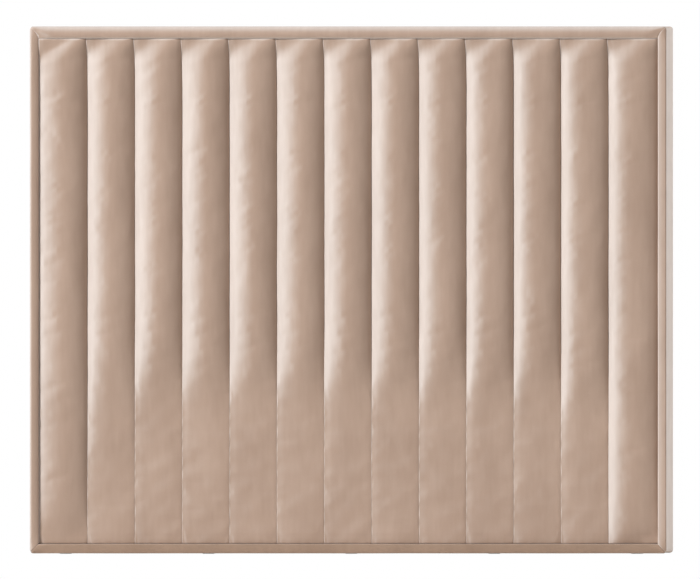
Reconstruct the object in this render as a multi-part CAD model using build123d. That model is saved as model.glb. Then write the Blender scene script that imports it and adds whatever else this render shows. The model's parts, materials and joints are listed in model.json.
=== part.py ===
"""Floor-standing upholstered headboard with thirteen upright channels inside a padded border.

A softwood frame, dowelled at every joint, carries a two-piece plywood face and a thin slab of
foam with a slot at each seam. Thirteen strips of backed cloth are sewn edge to edge, their seams
are tucked into those slots, and a half-round foam pad fills each strip. The pads of the middle
channels stop above the bed, so the lower part is nearly flat, while the two outer channels are
padded down to the floor border. Four mitred planks, wadded and wrapped in the same cloth, stand
round the panel and are screwed to the frame. A bevelled cleat on the back hooks over a wall batten.

Axes: X to the right seen from the front, Y from the front to the back, Z up. The origin is on the
floor, half way along the headboard and half way through its depth, cleat included.
"""

import os
from math import asin, cos, sin, sqrt

from build123d import *

os.makedirs("parts", exist_ok=True)

# Driving sizes, in millimetres
overall_height = 1372.0
channel_count = 13
channel_pitch = 126.0
end_channel_width = 131.0
cover_shift = 5.0
plank_thickness = 18.0
timber_width = 44.0
timber_depth = 44.0
board_thickness = 9.0
base_foam_thickness = 8.0
channel_crown = 23.5
flat_crown = 2.0
flat_line = 265.0
fade_length = 335.0
cleat_thickness = 18.0
skid_height = 2.5
cut_overrun = 5.0

# Cloth, wadding and the room left between layers
cloth = 1.0
backed_cloth = 2.0
wadding = 1.5
front_wadding = 5.0
dust_cover = 0.6
layer_gap = 0.2
fit_gap = 0.3
cover_room = 0.5
seam_gap = 0.2

# Border outline, worked out from the plank and its padding
border_padding = cloth + wadding
border_face = plank_thickness + 2 * border_padding
half_width = (channel_count - 2) * channel_pitch / 2 + end_channel_width
outer_half_width = half_width + border_face
panel_bottom = skid_height + border_face
panel_top = overall_height - border_face
panel_middle = (panel_bottom + panel_top) / 2
half_height = (panel_top - panel_bottom) / 2

# Depth, layer by layer, with the origin half way between the border's front and the cleat's back
border_depth = (
    channel_crown + cover_room + backed_cloth + base_foam_thickness + board_thickness + timber_depth + cloth
)
overall_depth = border_depth - cloth + dust_cover + cleat_thickness
front_y = -overall_depth / 2
back_y = front_y + border_depth
frame_back = back_y - cloth
frame_front = frame_back - timber_depth
board_front = frame_front - board_thickness
foam_front = board_front - base_foam_thickness
seam_y = foam_front - cover_room - backed_cloth


def box(low, high):
    """A block between two opposite corners."""
    size = [b - a for a, b in zip(low, high)]
    middle = [(a + b) / 2 for a, b in zip(low, high)]
    return Pos(*middle) * Box(*size)


# Dowels and screws, which the frame hides, have eight flat sides to keep the model light
rod_sides = 8


def rod(start, direction, length, radius):
    """A rod that runs from a point in a direction."""
    return extrude(Plane(origin=start, z_dir=direction) * RegularPolygon(radius, rod_sides), length)


def save(name, *solids):
    """Writes one node, which holds one solid or several alike."""
    shape = solids[0] if len(solids) == 1 else Compound(children=list(solids))
    export_step(shape, f"parts/{name}.step")


# Screws: a countersunk head that narrows into a plain shank
screw_radius = 2.25
screw_head_radius = 4.5
screw_hole_gap = 0.05
border_screw_bite = 11.0
cleat_screw_bite = 31.0
border_screw_length = timber_width + border_screw_bite
cleat_screw_length = cleat_thickness + dust_cover + cleat_screw_bite


def screw(head, direction, length, gap=0.0):
    """A countersunk screw from the middle of its head, or the hole that it fits with a gap round it."""
    shank = screw_radius + gap
    wide = screw_head_radius + gap
    top = Plane(origin=head, z_dir=direction)
    neck = top.offset(wide - shank)
    taper = loft([top * RegularPolygon(wide, rod_sides), neck * RegularPolygon(shank, rod_sides)], ruled=True)
    return taper + rod(head, direction, length + gap, shank)


# Channels: each has a list of heights and crowns, from the floor border to the top border
long_fade_length = 440.0
foot_fade_length = 220.0
head_fade_length = 130.0
fade_place_shares = (0.0, 0.23, 0.40, 0.54, 0.70, 1.0)
fade_crown_shares = (0.0, 0.20, 0.40, 0.60, 0.80, 1.0)
foot_place_shares = (0.0, 0.11, 0.26, 0.52, 1.0)
foot_crown_shares = (0.10, 0.33, 0.55, 0.79, 1.0)
head_place_shares = (0.0, 0.12, 0.25, 0.45, 1.0)
head_crown_shares = (0.08, 0.30, 0.52, 0.78, 1.0)
cover_bottom = panel_bottom + fit_gap
cover_top = panel_top - fit_gap
end_channels = (1, channel_count)
long_fade_channel = 2


def seam_x(seam):
    """The place along the panel of a seam, counted from 0 at the left. The cover sits a little left."""
    if seam in (0, channel_count):
        return half_width if seam else -half_width
    return (seam - channel_count / 2) * channel_pitch - cover_shift


def channel_sides(channel):
    """The left and right sides of a channel's cover, half a seam's gap inside its seams."""
    return seam_x(channel - 1) + seam_gap / 2, seam_x(channel) - seam_gap / 2


def crown_at(share):
    """How far the cover stands in front of its seams at a share of the full padding."""
    return flat_crown + share * (channel_crown - flat_crown)


def foot_stations(channel):
    """Heights and crowns of a channel's lower end, where the padding thins out."""
    if channel in end_channels:
        return [
            (cover_bottom + place * foot_fade_length, crown_at(share))
            for place, share in zip(foot_place_shares, foot_crown_shares)
        ]
    full = flat_line + fade_length
    length = long_fade_length if channel == long_fade_channel else fade_length
    return [
        (full - (1 - place) * length, crown_at(share))
        for place, share in zip(fade_place_shares, fade_crown_shares)
    ]


def head_stations():
    """Heights and crowns of a channel's upper end, from its full crown up to the top border."""
    return [
        (cover_top - place * head_fade_length, crown_at(share))
        for place, share in zip(reversed(head_place_shares), reversed(head_crown_shares))
    ]


def cover_stations(channel):
    """All heights and crowns of a channel's cover."""
    foot = foot_stations(channel)
    if channel not in end_channels:
        foot = [(cover_bottom, flat_crown)] + foot
    return foot + head_stations()


def foam_stations(channel):
    """The heights and crowns that a channel's foam pad fills, inside the ends of the cover."""
    end = backed_cloth + fit_gap
    foot = foot_stations(channel)
    if channel in end_channels:
        foot = [(foot[0][0] + end, foot[0][1])] + foot[1:]
    else:
        foot = foot[1:]
    head = head_stations()
    return foot + head[:-1] + [(head[-1][0] - end, head[-1][1])]


def arc_points(channel, crown, inset, steps):
    """Points evenly along the arc that lies inside a channel's front by an inset, from left to right."""
    left, right = channel_sides(channel)
    half = (right - left) / 2
    outer_radius = (half**2 + crown**2) / (2 * crown)
    radius = outer_radius - inset
    turn = asin((half - inset) / radius)
    turns = [turn * (2 * step / steps - 1) for step in range(steps + 1)]
    middle, centre = (left + right) / 2, seam_y - crown + outer_radius
    return [(middle + radius * sin(angle), centre - radius * cos(angle)) for angle in turns]


def cover_section(channel, height, crown, inset, back):
    """A level section of a channel's cover: straight back and sides and one arc in front."""
    first, middle, last = arc_points(channel, crown, inset, 2)
    sides = Polyline(first, (first[0], back), (last[0], back), last)
    return Pos(0, 0, height) * make_face(sides + ThreePointArc(first, middle, last))


def cover_body(channel, stations, inset, back):
    """The solid through sections of a channel's cover, with straight runs from each to the next."""
    return loft(
        [cover_section(channel, height, crown, inset, back) for height, crown in stations],
        ruled=True,
    )


# Foam pads: each fills its cover, and its front is cut in a few flat facets along the arc
pad_facets = 6


def pad_section(channel, height, crown):
    """A level section of a foam pad, flat behind and faceted in front."""
    front = arc_points(channel, crown, backed_cloth + fit_gap, pad_facets)
    corners = [(front[0][0], foam_front), *front, (front[-1][0], foam_front)]
    return Pos(0, 0, height) * make_face(Polyline(*corners, close=True))


def channel_foam(channel):
    """A pad through its sections, with straight runs from each to the next."""
    return loft([pad_section(channel, height, crown) for height, crown in foam_stations(channel)], ruled=True)


# Cover: sewn strips, tucked into the slots at their long edges and turned over the board's edges
tuck_depth = 6.0
tuck_end = foam_front + tuck_depth


def cover_strip(channel):
    """One strip of backed cloth, from its tucked seams over the crown, with its ends turned back."""
    stations = cover_stations(channel)
    low, high = stations[0][0], stations[-1][0]
    inner = (
        [(low + backed_cloth, stations[0][1])] + stations[1:-1] + [(high - backed_cloth, stations[-1][1])]
    )
    strip = cover_body(channel, stations, 0, tuck_end)
    strip -= cover_body(channel, inner, backed_cloth, tuck_end + cut_overrun)
    left, right = channel_sides(channel)
    for bottom, top in ((low, low + backed_cloth), (high - backed_cloth, high)):
        strip += box((left, seam_y, bottom), (right, frame_front, top))
    if channel == 1:
        strip += box((left, seam_y, low), (left + backed_cloth, frame_front, high))
    if channel == channel_count:
        strip += box((right - backed_cloth, seam_y, low), (right, frame_front, high))
    return strip


channels = range(1, channel_count + 1)
save("channel_cover", *[cover_strip(channel) for channel in channels])
for channel in channels:
    save(f"channel_foam_{channel:02d}", channel_foam(channel))

# Base foam: one slab with a slot behind each seam, which holds the tucked edges of two strips
panel_inset = 2 * fit_gap + backed_cloth
slab_half_width = half_width - panel_inset
slab_bottom = panel_bottom + panel_inset
slab_top = panel_top - panel_inset
slot_half_width = seam_gap / 2 + backed_cloth + fit_gap
slot_back = tuck_end + fit_gap

base_foam = box((-slab_half_width, foam_front, slab_bottom), (slab_half_width, board_front, slab_top))
for seam in range(1, channel_count):
    base_foam -= box(
        (seam_x(seam) - slot_half_width, foam_front - cut_overrun, slab_bottom - cut_overrun),
        (seam_x(seam) + slot_half_width, slot_back, slab_top + cut_overrun),
    )
save("base_foam", base_foam)

# Frame: two stiles, two rails and three mullions of planed softwood, with noggins between them
mullion_count = 3
frame_half_width = half_width + border_padding
frame_bottom = panel_bottom - border_padding
frame_top = panel_top + border_padding
stile_inner = frame_half_width - timber_width
rail_bottom_top = frame_bottom + timber_width
rail_top_bottom = frame_top - timber_width
frame_middle_y = (frame_front + frame_back) / 2
noggin_middle = flat_line + fade_length / 2
bay_count = mullion_count + 1
bay_width = (2 * stile_inner - mullion_count * timber_width) / bay_count
bay_starts = [-stile_inner + place * (bay_width + timber_width) for place in range(bay_count)]
bays = [(start, start + bay_width) for start in bay_starts]
mullion_middles = [start - timber_width / 2 for start in bay_starts[1:]]

# Dowels: two at each end of every rail, mullion and noggin, half of each in either piece
dowel_radius = 4.0
dowel_hole_gap = 0.1
dowel_web = 4.0
dowel_length = timber_width - dowel_web
dowel_spacing = timber_width / 2

rail_middles = (frame_bottom + timber_width / 2, frame_top - timber_width / 2)
dowel_sites = []
for side in (-1, 1):
    for middle in rail_middles:
        dowel_sites.append(((side * stile_inner, frame_middle_y, middle), "X"))
for middle in mullion_middles:
    for height in (rail_bottom_top, rail_top_bottom):
        dowel_sites.append(((middle, frame_middle_y, height), "Z"))
for left, right in bays:
    for end in (left, right):
        dowel_sites.append(((end, frame_middle_y, noggin_middle), "X"))


def dowel_rods(length, radius):
    """A pair of rods at every joint, spaced across the timber and centred on the joint."""
    rods = []
    for (x, y, z), along in dowel_sites:
        for side in (-1, 1):
            shift = side * dowel_spacing / 2
            if along == "X":
                rods.append(rod((x - length / 2, y, z + shift), (1, 0, 0), length, radius))
            else:
                rods.append(rod((x + shift, y, z - length / 2), (0, 0, 1), length, radius))
    return rods


dowel_holes = dowel_rods(dowel_length + 2 * dowel_hole_gap, dowel_radius + dowel_hole_gap)
save("frame_dowels", *dowel_rods(dowel_length, dowel_radius))

# Border screws run out through the frame into the planks, clear of the mullions and noggins
stile_screw_shares = (0.18, 0.5, 0.82)
stile_screw_heights = [frame_bottom + (frame_top - frame_bottom) * share for share in stile_screw_shares]
border_screw_sites = []
for side in (-1, 1):
    for height in stile_screw_heights:
        border_screw_sites.append(((side * stile_inner, frame_middle_y, height), (side, 0, 0)))
for left, right in bays:
    middle = (left + right) / 2
    border_screw_sites.append(((middle, frame_middle_y, rail_bottom_top), (0, 0, -1)))
    border_screw_sites.append(((middle, frame_middle_y, rail_top_bottom), (0, 0, 1)))
border_screw_holes = [
    screw(head, direction, border_screw_length, screw_hole_gap) for head, direction in border_screw_sites
]
border_screws = [screw(head, direction, border_screw_length) for head, direction in border_screw_sites]
save("border_screws", *border_screws)

# Wall cleat: a bevelled plywood batten on the back of the top rail, over the dust cover
hem_width = 13.0
cleat_height = 70.0
cleat_inset = 224.0
cleat_drop = 5.0
cleat_screw_count = 5
cleat_length = 2 * (half_width - cleat_inset)
cleat_front = frame_back + dust_cover
cleat_back = cleat_front + cleat_thickness
cleat_top = panel_top - hem_width - cleat_drop
cleat_bottom = cleat_top - cleat_height
cleat_screw_height = (cleat_top + rail_top_bottom) / 2
cleat_screw_pitch = cleat_length / cleat_screw_count
cleat_screw_sites = [
    (((place - (cleat_screw_count - 1) / 2) * cleat_screw_pitch, cleat_back, cleat_screw_height), (0, -1, 0))
    for place in range(cleat_screw_count)
]
cleat_screw_holes = [
    screw(head, direction, cleat_screw_length, screw_hole_gap) for head, direction in cleat_screw_sites
]
cleat_screws = [screw(head, direction, cleat_screw_length) for head, direction in cleat_screw_sites]
save("cleat_screws", *cleat_screws)

cleat_outline = Polyline(
    (cleat_front, cleat_top),
    (cleat_back, cleat_top),
    (cleat_back, cleat_bottom),
    (cleat_front, cleat_bottom + cleat_thickness),
    close=True,
)
wall_cleat = extrude(Plane.YZ * make_face(cleat_outline), cleat_length / 2, both=True)
for hole in cleat_screw_holes:
    wall_cleat -= hole
save("wall_cleat", wall_cleat)


def timber(low_x, high_x, low_z, high_z, fasteners=()):
    """A length of frame timber with the dowel holes, and any screw holes, that cross it."""
    piece = box((low_x, frame_front, low_z), (high_x, frame_back, high_z))
    for hole in list(dowel_holes) + list(fasteners):
        reach = hole.bounding_box()
        across = reach.min.X < high_x and reach.max.X > low_x
        if across and reach.min.Z < high_z and reach.max.Z > low_z:
            piece -= hole
    return piece


save("frame_stile_left", timber(-frame_half_width, -stile_inner, frame_bottom, frame_top, border_screw_holes))
save("frame_stile_right", timber(stile_inner, frame_half_width, frame_bottom, frame_top, border_screw_holes))
save(
    "frame_rail_bottom",
    timber(-stile_inner, stile_inner, frame_bottom, rail_bottom_top, border_screw_holes),
)
save(
    "frame_rail_top",
    timber(-stile_inner, stile_inner, rail_top_bottom, frame_top, border_screw_holes + cleat_screw_holes),
)
for number, middle in enumerate(mullion_middles, start=1):
    upright = timber(middle - timber_width / 2, middle + timber_width / 2, rail_bottom_top, rail_top_bottom)
    save(f"frame_mullion_{number}", upright)
noggin_low = noggin_middle - timber_width / 2
noggin_high = noggin_middle + timber_width / 2
save("frame_noggins", *[timber(left, right, noggin_low, noggin_high) for left, right in bays])

# Corner blocks: three-cornered blocks glued behind the board in the corners of the frame
block_leg = 70.0
block_thickness = 30.0


def corner_block(side_x, corner_x, side_z, corner_z):
    """A right-angled block with its square corner in a corner of the frame."""
    outline = Polyline(
        (corner_x, corner_z),
        (corner_x + side_x * block_leg, corner_z),
        (corner_x, corner_z + side_z * block_leg),
        close=True,
    )
    face = Plane((0, frame_front, 0), x_dir=(1, 0, 0), z_dir=(0, -1, 0)) * make_face(outline)
    return extrude(face, block_thickness, dir=(0, 1, 0))


save(
    "corner_blocks",
    corner_block(1, -stile_inner, 1, rail_bottom_top),
    corner_block(-1, stile_inner, 1, rail_bottom_top),
    corner_block(1, -stile_inner, -1, rail_top_bottom),
    corner_block(-1, stile_inner, -1, rail_top_bottom),
)

# Face boards: two sheets of plywood that meet over the noggins
board_joint = noggin_middle
board_gap = 0.2
save(
    "face_board_lower",
    box(
        (-slab_half_width, board_front, slab_bottom),
        (slab_half_width, frame_front, board_joint - board_gap / 2),
    ),
)
save(
    "face_board_upper",
    box(
        (-slab_half_width, board_front, board_joint + board_gap / 2),
        (slab_half_width, frame_front, slab_top),
    ),
)

# Floor skids: strips with a bevelled rim, stapled under the bottom border
skid_count = 5
skid_width = 20.0
skid_inset = 16.0
end_skid_distance = 87.0
skid_pitch = 2 * (outer_half_width - end_skid_distance) / (skid_count - 1)
skid_rim_share = 1 / 3
skid_middles = [(place - (skid_count - 1) / 2) * skid_pitch for place in range(skid_count)]

skids = []
for middle in skid_middles:
    plate = box(
        (middle - skid_width / 2, front_y + skid_inset, 0),
        (middle + skid_width / 2, back_y - skid_inset, skid_height),
    )
    bottom_rim = plate.faces().sort_by(Axis.Z)[0].edges()
    skids.append(chamfer(bottom_rim, skid_height * skid_rim_share))
save("floor_skids", *skids)

# Border: each side is a plank, wadding round its front and sides, and a cloth wrap turned on to the back
front_edge_radius = 7.0
plank_front = front_y + cloth + front_wadding
side_planes = {
    "right": Plane(origin=(half_width, 0, panel_middle), x_dir=(1, 0, 0), z_dir=(0, 0, 1)),
    "left": Plane(origin=(-half_width, 0, panel_middle), x_dir=(-1, 0, 0), z_dir=(0, 0, -1)),
    "top": Plane(origin=(0, 0, panel_top), x_dir=(0, 0, 1), z_dir=(-1, 0, 0)),
    "bottom": Plane(origin=(0, 0, panel_bottom), x_dir=(0, 0, -1), z_dir=(1, 0, 0)),
}


def padded_outline(inset, back):
    """A border's section in from its surface by an inset, round at both front edges and square behind."""
    low, high, front = inset, border_face - inset, front_y + inset
    radius = front_edge_radius - inset
    bend = front + radius
    turn = radius * (1 - sqrt(1 / 2))
    lines = Polyline((low, bend), (low, back), (high, back), (high, bend))
    lines += ThreePointArc((high, bend), (high - turn, front + turn), (high - radius, front))
    lines += Line((high - radius, front), (low + radius, front))
    lines += ThreePointArc((low + radius, front), (low + turn, front + turn), (low, bend))
    return make_face(lines)


def flat_outline(low, high, front, back):
    """A plain rectangle across and through a border's section."""
    return make_face(Polyline((low, front), (high, front), (high, back), (low, back), close=True))


frame_side = flat_outline(-cut_overrun, border_padding, frame_front, frame_back)
wrap_outline = padded_outline(0, back_y) - padded_outline(cloth, frame_back) - frame_side
wrap_outline += flat_outline(-hem_width, border_face, frame_back, back_y)
core_outline = flat_outline(border_padding, border_face - border_padding, plank_front, frame_back)
wadding_hole = flat_outline(
    border_padding - layer_gap, border_face - border_padding + layer_gap, plank_front - layer_gap, frame_back
)
wadding_outline = padded_outline(cloth + layer_gap, frame_back) - wadding_hole - frame_side


def border_bar(outline, side):
    """An outline run along one side of the border and cut at both ends on the mitre lines."""
    half_inner = half_height if side in ("left", "right") else half_width
    reach_in, reach_out = hem_width + cut_overrun, border_face + cut_overrun
    bar = extrude(outline, half_inner + reach_out, both=True)
    mitre = Polyline(
        (-reach_in, reach_in - half_inner),
        (-reach_in, half_inner - reach_in),
        (reach_out, half_inner + reach_out),
        (reach_out, -half_inner - reach_out),
        close=True,
    )
    mask = extrude(Plane.XZ * make_face(mitre), border_depth, both=True)
    return side_planes[side].location * (bar & mask)


for side in side_planes:
    core = border_bar(core_outline, side)
    for hole in border_screw_holes:
        core -= hole
    save(f"border_plank_{side}", core)
    save(f"border_wadding_{side}", border_bar(wadding_outline, side))
    save(f"border_wrap_{side}", border_bar(wrap_outline, side))

# Dust cover: a thin dark sheet over the back of the frame, inside the turned edge of the wraps
sheet_half_width = half_width - hem_width - layer_gap
sheet = box(
    (-sheet_half_width, frame_back, panel_bottom + hem_width + layer_gap),
    (sheet_half_width, frame_back + dust_cover, panel_top - hem_width - layer_gap),
)
for hole in cleat_screw_holes:
    sheet -= hole
save("dust_cover", sheet)
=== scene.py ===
# %% [markdown]
# # A channelled velvet headboard
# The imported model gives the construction: a timber frame, boards, foam, a sewn cover and a wrapped
# border, all at their real size. This script dresses it. Soft pieces that show are built again as
# finer surfaces in the place of their solids, and every other solid keeps its shape and gets a finish.

import json
import math

import bpy
import numpy as np
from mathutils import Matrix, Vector


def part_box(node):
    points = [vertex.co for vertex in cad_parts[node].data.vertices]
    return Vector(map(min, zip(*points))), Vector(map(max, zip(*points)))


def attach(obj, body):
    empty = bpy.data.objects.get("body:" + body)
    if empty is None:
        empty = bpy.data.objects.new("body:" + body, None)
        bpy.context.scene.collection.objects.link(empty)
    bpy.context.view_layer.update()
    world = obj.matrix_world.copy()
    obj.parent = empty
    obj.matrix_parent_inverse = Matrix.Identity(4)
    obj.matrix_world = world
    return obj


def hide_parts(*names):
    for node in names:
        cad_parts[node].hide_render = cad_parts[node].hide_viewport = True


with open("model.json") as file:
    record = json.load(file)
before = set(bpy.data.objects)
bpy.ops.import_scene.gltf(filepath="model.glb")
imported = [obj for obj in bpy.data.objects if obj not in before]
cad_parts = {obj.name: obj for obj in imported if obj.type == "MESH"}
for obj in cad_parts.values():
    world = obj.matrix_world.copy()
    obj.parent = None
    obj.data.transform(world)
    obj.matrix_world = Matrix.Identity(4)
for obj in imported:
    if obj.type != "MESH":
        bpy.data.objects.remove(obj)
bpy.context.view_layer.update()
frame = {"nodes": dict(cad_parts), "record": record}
nodes = frame["nodes"]

# %% [markdown]
# ## Sizes read from the frame
# A piece that replaces a solid has to sit exactly where the solid does. Its place could be typed, but
# then the two drift apart when a size changes, so it is read. The foam pads give the seams, because
# each seam lies half way between two pads. The wraps and the slab of foam behind give the rest.

# %% Places of the seams and the border
CHANNELS = 13
pads = [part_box(f"channel_foam_{number:02d}") for number in range(1, CHANNELS + 1)]
cover_low, cover_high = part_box("channel_cover")
slab_low, slab_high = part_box("base_foam")
outer_low, outer_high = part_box("border_wrap_left")[0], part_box("border_wrap_right")[1]

BORDER_FACE = 0.023
COVER_THICKNESS = 0.0025
SEAM_GAP = 0.0002
seams = np.array(
    [cover_low.x]
    + [(left[1].x + right[0].x) / 2 for left, right in zip(pads, pads[1:])]
    + [cover_high.x]
)
seam_y = slab_low.y - COVER_THICKNESS
front_y, back_y = outer_low.y, outer_high.y
crown = seam_y - front_y
print("seams at", np.round(seams * 1000, 1), "mm, crown", round(crown * 1000, 1), "mm")

# %% [markdown]
# ## Surfaces from arrays
# Each new piece is a grid of points worked out with numpy in one go: rows run up the piece and columns
# across it. One function gives the faces of such a grid, and joins the last column to the first where
# the section is a closed loop. Extruding and bevelling with operators would work too, but it is slower
# and harder to repeat exactly.


# %% Grid to mesh
def loop_faces(rows, columns, around):
    """Four corners of each cell of a grid, first along its columns and then up its rows."""
    cells_across = columns if around else columns - 1
    row, column = np.meshgrid(np.arange(rows - 1), np.arange(cells_across), indexing="ij")
    after = (column + 1) % columns
    low, high = row * columns, (row + 1) * columns
    return np.stack([low + column, low + after, high + after, high + column], axis=-1).reshape(-1, 4)


def rim(rows, columns):
    """The corners along the edge of an open grid, once round, against the order of its cells."""
    grid = np.arange(rows * columns).reshape(rows, columns)
    return np.concatenate([grid[:0:-1, 0], grid[0, :-1], grid[:-1, -1], grid[-1, :0:-1]])[::-1]


def make_piece(name, points, faces, smooth=True):
    """A mesh object at the origin, with its place in its points."""
    mesh = bpy.data.meshes.new(name)
    mesh.from_pydata(points.reshape(-1, 3).tolist(), [], faces)
    mesh.validate()
    mesh.shade_smooth() if smooth else mesh.shade_flat()
    piece = bpy.data.objects.new(name, mesh)
    bpy.context.scene.collection.objects.link(piece)
    return piece


def dress(piece, finish, slot, *stands_for):
    """Gives a piece its finish and ties it to the frame."""
    piece.data.materials.clear()
    piece.data.materials.append(finish)
    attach(piece, "root")
    if stands_for:
        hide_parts(*stands_for)


# %% [markdown]
# ## Slow unevenness
# Upholstery is never ruler straight. A noise texture could displace it, but a sum of a few sine waves
# with seeded places is smooth, has a known size and is the same on every run.


# %% Waves
def waves(seed, *places, length=0.2, count=6):
    """Sum of sines over one or two coordinates in metres, about -1 to 1, each wave near length long."""
    chance = np.random.default_rng(seed)
    total = 0.0
    for _ in range(count):
        turns = sum(
            place * chance.uniform(0.5, 1.5) * chance.choice([-1, 1]) * 2 * math.pi / length
            for place in places
        )
        total = total + np.sin(turns + chance.uniform(0, 2 * math.pi))
    return total / math.sqrt(count * 2)


# %% [markdown]
# ## The padding of each channel
# The pads of the middle channels run out behind the bed, so the crown of a channel is a share of the
# full crown that changes with the height. The shares follow how strongly each channel of the real one
# is shaded from its left to its right side. A painted mask could say the same, but a table of heights
# is easier to read and to change.

# %% Shares of the full crown
FADE = (
    (0.243, 0.306, 0.347, 0.389, 0.431, 0.473, 0.515, 0.556, 0.600),
    (0.03, 0.05, 0.07, 0.14, 0.33, 0.62, 0.86, 0.96, 1.00),
)
LONG_FADE = (
    (0.150, 0.222, 0.264, 0.306, 0.347, 0.389, 0.431, 0.473, 0.515, 0.600),
    (0.03, 0.10, 0.16, 0.24, 0.31, 0.40, 0.52, 0.64, 0.78, 1.00),
)
LATE_FADE = (
    (0.215, 0.264, 0.306, 0.347, 0.389, 0.431, 0.473, 0.515, 0.560, 0.600),
    (0.03, 0.07, 0.12, 0.19, 0.33, 0.58, 0.85, 0.96, 1.00, 1.00),
)
FIRST_FOOT = (
    (0.0255, 0.045, 0.055, 0.076, 0.097, 0.138, 0.180, 0.347, 0.420, 0.600),
    (0.05, 0.12, 0.20, 0.34, 0.50, 0.62, 0.72, 0.78, 0.88, 1.00),
)
LAST_FOOT = (
    (0.0255, 0.034, 0.055, 0.076, 0.118, 0.180, 0.240, 0.600),
    (0.10, 0.25, 0.48, 0.60, 0.72, 0.90, 1.00, 1.00),
)
FROM_TOP = (
    (0.000, 0.007, 0.014, 0.022, 0.030, 0.038, 0.046, 0.053, 0.061, 0.100, 0.166),
    (0.02, 0.03, 0.08, 0.17, 0.31, 0.46, 0.60, 0.70, 0.79, 0.93, 1.00),
)
OWN_TABLES = {0: FIRST_FOOT, 1: LONG_FADE, 11: LATE_FADE, CHANNELS - 1: LAST_FOOT}
SMOOTHING, HEAD_SMOOTHING = 0.012, 0.004
DRIFT, DRIFT_TURN = 0.006, 2.4


def smooth_shares(height, heights, shares, reach):
    """Straight lines between the listed shares, rounded off by a running mean over a short reach."""
    offsets = np.linspace(-reach, reach, 9)
    return np.mean([np.interp(height + offset, heights, shares) for offset in offsets], axis=0)


def head_share(height):
    """How much of its crown a channel has left near the border on top, the same for every channel."""
    return smooth_shares(cover_high.z - height, *FROM_TOP, HEAD_SMOOTHING)


def padding_share(channel, height):
    """How full the channel is at each height, from 0 for the flat cover to 1 for the full crown."""
    drift = DRIFT * np.sin(DRIFT_TURN * channel)
    table = OWN_TABLES.get(channel, FADE)
    return smooth_shares(height + drift, *table, SMOOTHING) * head_share(height)


print("crown at 0.45 m:", [round(float(padding_share(channel, 0.45)), 2) for channel in range(CHANNELS)])

# %% [markdown]
# ## A grid that is fine where the cloth rolls
# Most of a channel curves slowly, but at a seam the cloth turns down within two millimetres. An even
# grid fine enough for that would be far too heavy. So rows and columns lie close together near the
# ends and even between, and the section of a channel is a plain circular arc, written as a formula.

# %% Places and simple forms
END_ROLL = 0.004
CHANNEL_WIDTH, PACKED = 0.126, 0.012
ROLL_PLACES = 10


def spread(low, high, roll, steps):
    """Places from low to high: close together within a roll of either end, and even between."""
    near = roll * (1 - np.cos(np.linspace(0, math.pi / 2, ROLL_PLACES)))
    middle = np.linspace(low + roll, high - roll, steps)[1:-1]
    return np.concatenate([low + near, middle, high - near[::-1]])


def ease(share):
    """A share held between 0 and 1, with a gentle start and end: three squares less two cubes."""
    share = np.clip(share, 0, 1)
    return share**2 * (3 - 2 * share)


def arc_height(across, half, rise):
    """Height of the circular arc over a chord of twice half that rises to rise in the middle."""
    radius = (half**2 + rise**2) / (2 * rise)
    return np.sqrt(np.maximum(radius**2 - across**2, 0)) - (radius - rise)


# %% [markdown]
# ## Sewn seams and margins
# Even a good seam wanders a fraction of a millimetre. Beside the border a faint line shows where
# the wadding under the cloth ends. A bump texture could show the line, but it can't move a seam.

# %% Seams and margins
SEAM_WANDER, WANDER_LENGTH = 0.0003, 0.35
MARGIN, MARGIN_WIDTH, MARGIN_DEPTH = 0.020, 0.0022, 0.00035


def seam_wander(seam, z):
    """How far a sewn seam strays from a straight line. The two beside the border don't stray."""
    return SEAM_WANDER * waves(seam, z, length=WANDER_LENGTH) * (0 < seam < CHANNELS)


def margin_line(distance):
    """A shallow groove beside the border, where the wadding ends: a bell curve round its distance."""
    return MARGIN_DEPTH * np.exp(-(((distance - MARGIN) / MARGIN_WIDTH) ** 2))


# %% [markdown]
# ## One channel as a height over a grid
# Seen from above, a channel is an arc between two seams. Its crest lies left of the middle on some of
# them, and the cloth is drawn down harder on the right than on the left, so the right flank is the
# steeper one. The first channel stands proud at the border, where no seam holds it. Near the border on
# top the cloth lies higher for a short way. A sculpted mesh could show all this too, but in a sum of a
# few forms each one has its own named size and can be changed by itself.

# %% Heights of a channel
FLAT_CROWN = 0.0018
FADE_SKEW, SKEW_MIDDLE = 0.040, 0.45
LEFT_REACH, RIGHT_REACH = 0.011, 0.0045
FLAT_PULL, FULL_PULL = 0.0009, 0.0014
SIDE_PULLS = np.array([7.5, 6.2, 5.8, 5.8, 5.8, 6.3, 6.3, 6.3, 8.0, 8.5, 8.5, 9.0, 8.0]) / 1000
SIDE_REACH, SIDE_PULL_AT_CREST = 0.012, 0.75
CREST_SHIFTS = (0.1, 0.4, 0.0, -0.1, 0.0, 0.0, 0.1, 0.2, 0.5, 0.7, 0.9, 1.0, 1.0)
FIRST_RISE, LEAST_SAG = 0.012, 0.001
HEAD_LIFT, HEAD_TUCKED = 0.0180, 0.0030


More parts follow.
